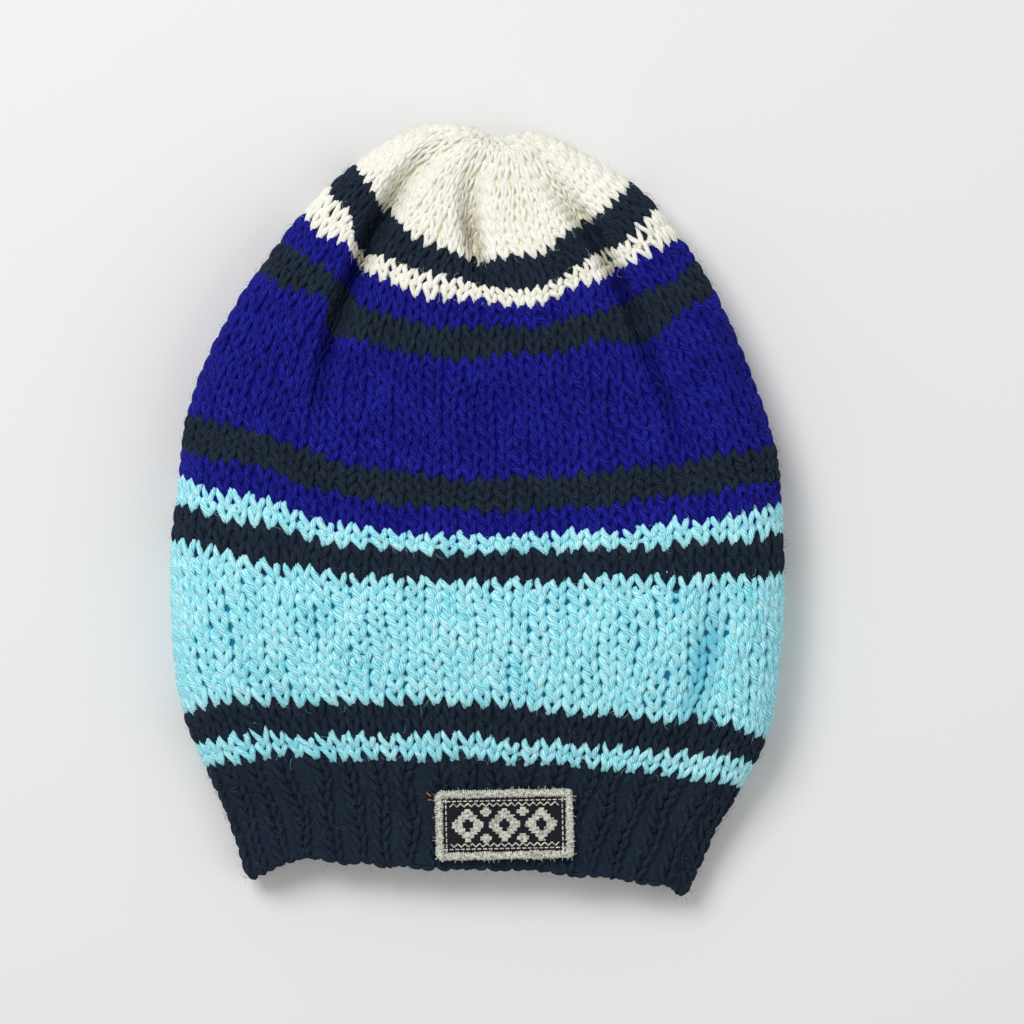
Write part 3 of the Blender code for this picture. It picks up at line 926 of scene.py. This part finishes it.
def join_meshes(name, *meshes):
    """One mesh of several, which are then removed."""
    bm = bmesh.new()
    for mesh in meshes:
        bm.from_mesh(mesh)
        bpy.data.meshes.remove(mesh)
    joined = bpy.data.meshes.new(name)
    bm.to_mesh(joined)
    bm.free()
    joined.shade_smooth()
    return joined


# the ground: twill woven of fine thread, a piece of cloth that runs in under the rim
GROUND_ACROSS = 60
GROUND_ALONG = 30
UNDER_RIM = 0.0014
TWILL_PITCH = 0.00048
TWILL_ANGLE = 28
TWILL_RELIEF = 0.00010
LINT_SCALE = 900.0
DARK_AT, LIGHT_AT = 0.12, 0.75
GROUND_DARK = (0.0075, 0.0070, 0.0120)
GROUND_LIGHT = (0.0230, 0.0220, 0.0330)

bm = bmesh.new()
bmesh.ops.create_grid(bm, x_segments=GROUND_ACROSS, y_segments=GROUND_ALONG, size=0.5)
raised = bmesh.ops.extrude_face_region(bm, geom=bm.faces[:])["geom"]
top = {vert for vert in raised if isinstance(vert, bmesh.types.BMVert)}
flat_places = np.array([vert.co[:] for vert in bm.verts])
lifts = np.array([GROUND_THICKNESS if vert in top else 0.0 for vert in bm.verts])
laid = on_band(
    flat_places[:, 0] * (LABEL_WIDTH - 2 * UNDER_RIM),
    flat_places[:, 1] * (LABEL_HEIGHT - 2 * UNDER_RIM),
    LABEL_SEAT + lifts,
)
for vert, laid_place in zip(bm.verts, laid):
    vert.co = laid_place
bmesh.ops.recalc_face_normals(bm, faces=bm.faces[:])
ground_mesh = bpy.data.meshes.new("label_twill")
bm.to_mesh(ground_mesh)
bm.free()
ground_mesh.shade_smooth()

twill, nodes, link, shader = plain_material("label_twill", roughness=0.75, specular=0.15)
place = nodes.new("ShaderNodeTexCoord").outputs["Object"]
turned = nodes.new("ShaderNodeMapping")
turned.inputs["Rotation"].default_value = (0, 0, math.radians(TWILL_ANGLE))
link(place, turned.inputs["Vector"])
lines = nodes.new("ShaderNodeTexWave")
lines.inputs["Scale"].default_value = math.pi / (10 * TWILL_PITCH)
lines.inputs["Distortion"].default_value = 1.2
lines.inputs["Detail"].default_value = 1.0
lines.inputs["Detail Scale"].default_value = 4.0
link(turned.outputs["Vector"], lines.inputs["Vector"])
mixed = nodes.new("ShaderNodeMath")
mixed.operation = "MULTIPLY"
link(lines.outputs["Fac"], mixed.inputs[0])
link(add_noise(nodes, link, place, LINT_SCALE), mixed.inputs[1])
tone = mixed.outputs[0]
colour = add_ramp(nodes, link, tone, (DARK_AT, GROUND_DARK), (LIGHT_AT, GROUND_LIGHT))
link(colour, shader.inputs["Base Color"])
add_bump(nodes, link, lines.outputs["Fac"], TWILL_RELIEF, shader)
add_piece("label_twill", ground_mesh, twill, ["label_ground"])

# the overlocked rim: one thread wound over the label's edge, round a core of the threads below it
RIM_PITCH = 0.00086
RIM_THREAD = 0.00036
RIM_FLATNESS = 1.1
RIM_POINTS = 12
RIM_SIDES = 5
RIM_LEAN = 0.9
RIM_CORE = 0.72
RIM_UNEVEN = 0.15
CORNER_POINTS = 9
CORE_POINTS = 160
CORE_SIDES = 8
LABEL_SEED = 11

# the label thread: its deep colour, speckled in by the blotches and ply grooves, is painted shade for
# the dark gaps between its windings, and its bright colour a painted highlight
LABEL_THREAD = Yarn(
    deep=(0.030, 0.033, 0.024),
    base=(0.640, 0.640, 0.530),
    bright=(1.000, 1.000, 0.930),
    sheen=0.1,
)
LABEL_TWIST = Twist(3, -7.0, 0.00012, 2.2, 5.0, 1000.0, 1.7)
label_thread = yarn_material(
    "label_thread", LABEL_THREAD, LABEL_TWIST, roughness=0.35, specular=0.6
)

# the label's corners in their order round it, with the first once more to close the edge
CORNERS = ((1, -1), (1, 1), (-1, 1), (-1, -1), (1, -1))


def label_edge(share, inset):
    """Where the label's edge is, inset from it, for shares of the way round it."""
    edge = []
    for number, (side, end) in enumerate(CORNERS):
        for step in range(CORNER_POINTS):
            turn = math.radians(90 * (number - 1 + step / (CORNER_POINTS - 1)))
            across = side * (LABEL_WIDTH / 2 - LABEL_CORNER) + LABEL_CORNER * math.cos(turn)
            up = end * (LABEL_HEIGHT / 2 - LABEL_CORNER) + LABEL_CORNER * math.sin(turn)
            edge.append((across, up, turn))
    edge = np.array(edge[: 4 * CORNER_POINTS + 1])
    run = np.hypot(*np.diff(edge[:, :2], axis=0).T)
    run = np.concatenate(([0], np.cumsum(run)))
    across, up, turn = (
        np.interp(np.mod(share, 1) * run[-1], run, column) for column in edge.T
    )
    return across - inset * np.cos(turn), up - inset * np.sin(turn), run[-1]


_, _, rim_length = label_edge(np.zeros(1), 0)
turns = int(rim_length / RIM_PITCH)
rng = np.random.default_rng(LABEL_SEED)
wound = np.arange(turns * RIM_POINTS) / RIM_POINTS
size = 1 + RIM_UNEVEN * rng.normal(size=turns)[wound.astype(int)]
angle = 2 * math.pi * wound
lean = RIM_LEAN * np.cos(angle)
half_wide = BORDER_WIDTH / 2 - RIM_THREAD
half_high = BORDER_HEIGHT / 2 - RIM_THREAD
middle_lift = LABEL_SEAT + BORDER_HEIGHT / 2
centre_across, centre_up, _ = label_edge(wound / turns, BORDER_WIDTH / 2)
centres = on_band(centre_across, centre_up, middle_lift)
rim_across, rim_up, _ = label_edge(
    (wound + lean) / turns, BORDER_WIDTH / 2 - half_wide * size * np.cos(angle)
)
rim = on_band(rim_across, rim_up, middle_lift + half_high * size * np.sin(angle))
thickness = np.full((1, len(rim)), RIM_THREAD)
wrap_mesh = thread_mesh(
    "wrap",
    rim[None],
    unit(rim - centres)[None],
    thickness * RIM_FLATNESS,
    thickness,
    RIM_SIDES,
    True,
)
core_across, core_up, _ = label_edge(np.arange(CORE_POINTS) / CORE_POINTS, BORDER_WIDTH / 2)
core_mesh = upright_threads(
    "core",
    on_band(core_across, core_up, middle_lift)[None],
    RIM_CORE * BORDER_WIDTH / 2,
    RIM_CORE * BORDER_HEIGHT / 2,
    CORE_SIDES,
    True,
)
rim_mesh = join_meshes("label_rim", wrap_mesh, core_mesh)
add_piece("label_rim", rim_mesh, label_thread, ["label_border"])

# the embroidery: satin stitches side by side fill the lozenges, and a running stitch goes round
Step = namedtuple("Step", "height half_width open_half_width")
LARGE_LOZENGE = (
    Step(0.0011, 0.0056, 0.0019),
    Step(0.0023, 0.0045, 0.0009),
    Step(0.0035, 0.0033, 0.0),
    Step(0.0047, 0.0021, 0.0),
    Step(0.0059, 0.0010, 0.0),
)
SMALL_LOZENGE = (Step(0.0007, 0.0021, 0.0), Step(0.0015, 0.0010, 0.0))
Motif = namedtuple("Motif", "steps across up")
MOTIFS = (
    Motif(LARGE_LOZENGE, -0.0132, 0.0),
    Motif(LARGE_LOZENGE, 0.0, 0.0),
    Motif(LARGE_LOZENGE, 0.0132, 0.0),
    Motif(SMALL_LOZENGE, -0.0066, 0.0048),
    Motif(SMALL_LOZENGE, 0.0066, 0.0048),
    Motif(SMALL_LOZENGE, -0.0066, -0.0048),
    Motif(SMALL_LOZENGE, 0.0066, -0.0048),
)
SATIN_PITCH = 0.00046
SATIN_HALF_WIDTH = 0.00025
SATIN_TALL = 0.00022
SATIN_ARCH = 0.00022
SATIN_FULLNESS = 0.5
SATIN_UNEVEN = 0.00014
ZIGZAG_UP = 0.0073
ZIGZAG_HIGH = 0.0006
ZIGZAG_HALF_STEP = 0.0013
ZIGZAG_STEPS = 30
STITCH_POINTS = 6
STITCH_SIDES = 6
RUNNING_INSET = 0.0041
RUNNING_STITCH = 0.0012
RUNNING_SPACE = 0.0008


def stitched(name, starts, ends):
    """Short stitches from starts to ends in the label's plane, arched over its ground."""
    share = np.linspace(0, 1, STITCH_POINTS)
    flat_paths = starts[:, None] + (ends - starts)[:, None] * share[:, None]
    arch = SATIN_ARCH * np.sin(math.pi * share) ** SATIN_FULLNESS
    lift = np.broadcast_to(LABEL_SEAT + GROUND_THICKNESS + arch, flat_paths.shape[:2])
    paths = on_band(flat_paths[..., 0].ravel(), flat_paths[..., 1].ravel(), lift.ravel())
    paths = paths.reshape(*flat_paths.shape[:2], 3)
    return upright_threads(name, paths, SATIN_HALF_WIDTH, SATIN_TALL, STITCH_SIDES)


starts, ends = [], []
for motif in MOTIFS:
    tall = motif.steps[-1].height
    for row in range(int(2 * tall / SATIN_PITCH) + 1):
        up = row * SATIN_PITCH - tall
        step = next(step for step in motif.steps if abs(up) <= step.height + 1e-9)
        spans = [(-step.half_width, step.half_width)]
        if step.open_half_width:
            spans = [
                (-step.half_width, -step.open_half_width),
                (step.open_half_width, step.half_width),
            ]
        for left, right in spans:
            slip = rng.normal(size=2) * SATIN_UNEVEN
            starts.append((motif.across + left + slip[0], motif.up + up))
            ends.append((motif.across + right + slip[1], motif.up + up))
for side in (-1, 1):
    for step in range(ZIGZAG_STEPS):
        left = (step - ZIGZAG_STEPS / 2) * ZIGZAG_HALF_STEP
        rise = ZIGZAG_HIGH * (-1) ** step
        starts.append((left, side * (ZIGZAG_UP - rise)))
        ends.append((left + ZIGZAG_HALF_STEP, side * (ZIGZAG_UP + rise)))
satin_mesh = stitched("satin", np.array(starts), np.array(ends))

stitches = int(rim_length / (RUNNING_STITCH + RUNNING_SPACE))
begin = np.arange(stitches) / stitches
stop = begin + RUNNING_STITCH / rim_length
running_mesh = stitched(
    "running",
    np.stack(label_edge(begin, RUNNING_INSET)[:2], axis=-1),
    np.stack(label_edge(stop, RUNNING_INSET)[:2], axis=-1),
)

# frayed ends of the rim's thread stick out all round it
FRAYED_ENDS = 46
FRAYED_LENGTH = 0.0011
FRAYED_SHORTEST = 0.3
FRAYED_THREAD = 0.00011
FRAYED_SIDES = 4
FRAYED_ROOT = 0.0004
FRAYED_RISE = 0.0004
FRAYED_SWING = 0.6

share = rng.random(FRAYED_ENDS)
outside = -FRAYED_LENGTH * rng.uniform(FRAYED_SHORTEST, 1.0, FRAYED_ENDS)
swing = FRAYED_SWING * FRAYED_LENGTH / rim_length * rng.normal(size=FRAYED_ENDS)
frayed = []
for part in np.linspace(0, 1, STITCH_POINTS):
    inset = FRAYED_ROOT + (outside - FRAYED_ROOT) * part
    across, up, _ = label_edge(share + swing * part, inset)
    frayed.append(on_band(across, up, middle_lift + FRAYED_RISE * part))
frayed = np.stack(frayed, axis=1)
frayed_mesh = upright_threads("frayed", frayed, FRAYED_THREAD, FRAYED_THREAD, FRAYED_SIDES)
thread_work = join_meshes("label_embroidery", satin_mesh, running_mesh, frayed_mesh)
add_piece("label_embroidery", thread_work, label_thread, [])

# ends of the orange thread that the label was sewn on with
ThreadEnd = namedtuple("ThreadEnd", "across up angle length")
THREAD_ENDS = (
    ThreadEnd(-0.0262, 0.0106, 118, 0.0021),
    ThreadEnd(-0.0258, 0.0094, 160, 0.0014),
    ThreadEnd(-0.0056, -0.0099, 25, 0.0013),
    ThreadEnd(-0.0020, -0.0100, -20, 0.0015),
)
END_LIFT = 0.0026
END_DROOP = 0.0003
END_CURL = 0.6
END_THREAD = 0.00020
END_SIDES = 5
ORANGE_THREAD = Yarn(
    deep=(0.420, 0.085, 0.010),
    base=(0.800, 0.200, 0.025),
    bright=(0.950, 0.380, 0.080),
    sheen=0.0,
)
ORANGE_TWIST = Twist(3, -6.0, 0.00004, 3.0, 4.0, 90.0, 0.3)

share = np.linspace(0, 1, STITCH_POINTS)
ends = []
for end in THREAD_ENDS:
    turn = math.radians(end.angle) + END_CURL * share
    across = end.across + np.cumsum(np.cos(turn)) * end.length / STITCH_POINTS
    up = end.up + np.cumsum(np.sin(turn)) * end.length / STITCH_POINTS
    ends.append(on_band(across, up, END_LIFT - END_DROOP * share))
ends = np.array(ends)
ends_mesh = upright_threads("label_thread_ends", ends, END_THREAD, END_THREAD, END_SIDES)
orange_thread = yarn_material("orange_thread", ORANGE_THREAD, ORANGE_TWIST)
add_piece("label_thread_ends", ends_mesh, orange_thread, [])

# Loose fibres. Acrylic yarn sheds fine curled fibres that stand off its surface, most of them seen
# on the black yarn, where they catch the light: their light colour, lighter than the yarn's own, is a
# painted highlight.

# each yarn's fibres: how many, their dark colour and their light colour, a painted highlight
Fuzz = namedtuple("Fuzz", "count dark light")
FUZZ = {
    "black": Fuzz(3600, (0.012, 0.020, 0.028), (0.130, 0.190, 0.220)),
    "royal": Fuzz(1000, (0.006, 0.005, 0.160), (0.110, 0.120, 0.560)),
    "light_blue": Fuzz(1000, (0.250, 0.720, 0.850), (0.850, 0.980, 0.990)),
    "white": Fuzz(1500, (0.800, 0.780, 0.680), (0.960, 0.950, 0.900)),
}
FIBRE_TAPER = (1.0, 1.0, 0.9, 0.7, 0.4)
FIBRE_POINTS = len(FIBRE_TAPER)
FIBRE_SIDES = 3
FIBRE_RADIUS = 0.000040
FIBRE_SHORTEST = 0.0012
FIBRE_LONGEST = 0.0042
FIBRE_BEND = 1.5
FIBRE_ROOT = 0.0008
FIBRE_LIFT = 0.0013
FIBRES_IN_FRONT = 0.72
LOWEST_FIBRE = 0.0003
HIGHEST_ROOT = TOP_COURSE - 1.0
FIBRE_SEED = 101
FIBRE_PATCHES = 300.0
PATCH_DARK_AT, PATCH_LIGHT_AT = 0.40, 0.72


def fibre_paths(yarn, count, seed):
    """Curled paths that start in one yarn's stripes and stand a little off them."""
    rng = np.random.default_rng(seed)
    stripes = np.array(yarn_courses[yarn], dtype=float)
    chosen = rng.choice(len(stripes), count, p=stripes[:, 1] / stripes[:, 1].sum())
    course = stripes[chosen, 0] + rng.random(count) * stripes[chosen, 1]
    course = np.minimum(course, HIGHEST_ROOT)
    behind = rng.random(count) > FIBRES_IN_FRONT
    stitch = (rng.random(count) + behind) * WALES / 2
    course = course + ride_at(read_net(net_points[..., 0], course, stitch), course)
    root = read_net(net_points, course, stitch)
    out = unit(read_net(net_out, course, stitch))
    sideways = unit(read_net(net_along, course, stitch))
    upward = np.cross(out, sideways)
    share = np.linspace(0, 1, FIBRE_POINTS)
    bend = FIBRE_BEND * rng.normal(size=(count, 1))
    heading = 2 * math.pi * rng.random((count, 1)) + bend * share
    length = rng.uniform(FIBRE_SHORTEST, FIBRE_LONGEST, (count, 1))
    step = length / (FIBRE_POINTS - 1)
    right = np.cumsum(np.cos(heading), axis=1) * step
    ahead = np.cumsum(np.sin(heading), axis=1) * step
    arch = np.sin(math.pi * share * rng.uniform(0.5, 1.0, (count, 1)))
    lift = FIBRE_LIFT * rng.random((count, 1)) * arch - FIBRE_ROOT * (1 - share) ** 2
    paths = (
        root[:, None]
        + sideways[:, None] * right[..., None]
        + upward[:, None] * ahead[..., None]
        + out[:, None] * lift[..., None]
    )
    paths[..., 2] = np.maximum(paths[..., 2], LOWEST_FIBRE)
    return paths, np.broadcast_to(out[:, None], paths.shape)


for seed, (yarn, fuzz) in enumerate(FUZZ.items(), FIBRE_SEED):
    name = yarn + "_fibres"
    paths, outward = fibre_paths(yarn, fuzz.count, seed)
    thickness = np.broadcast_to(FIBRE_RADIUS * np.array(FIBRE_TAPER), paths.shape[:2])
    mesh = thread_mesh(name, paths, outward, thickness, thickness, FIBRE_SIDES, False)
    material, nodes, link, shader = plain_material(name, roughness=0.6, specular=0.2)
    place = nodes.new("ShaderNodeTexCoord").outputs["Object"]
    patches = add_noise(nodes, link, place, FIBRE_PATCHES)
    # random patches run from the fibres' dark colour to their painted highlight
    stops = (PATCH_DARK_AT, fuzz.dark), (PATCH_LIGHT_AT, fuzz.light)
    colour = add_ramp(nodes, link, patches, *stops)
    link(colour, shader.inputs["Base Color"])
    add_piece(name, mesh, material, [])
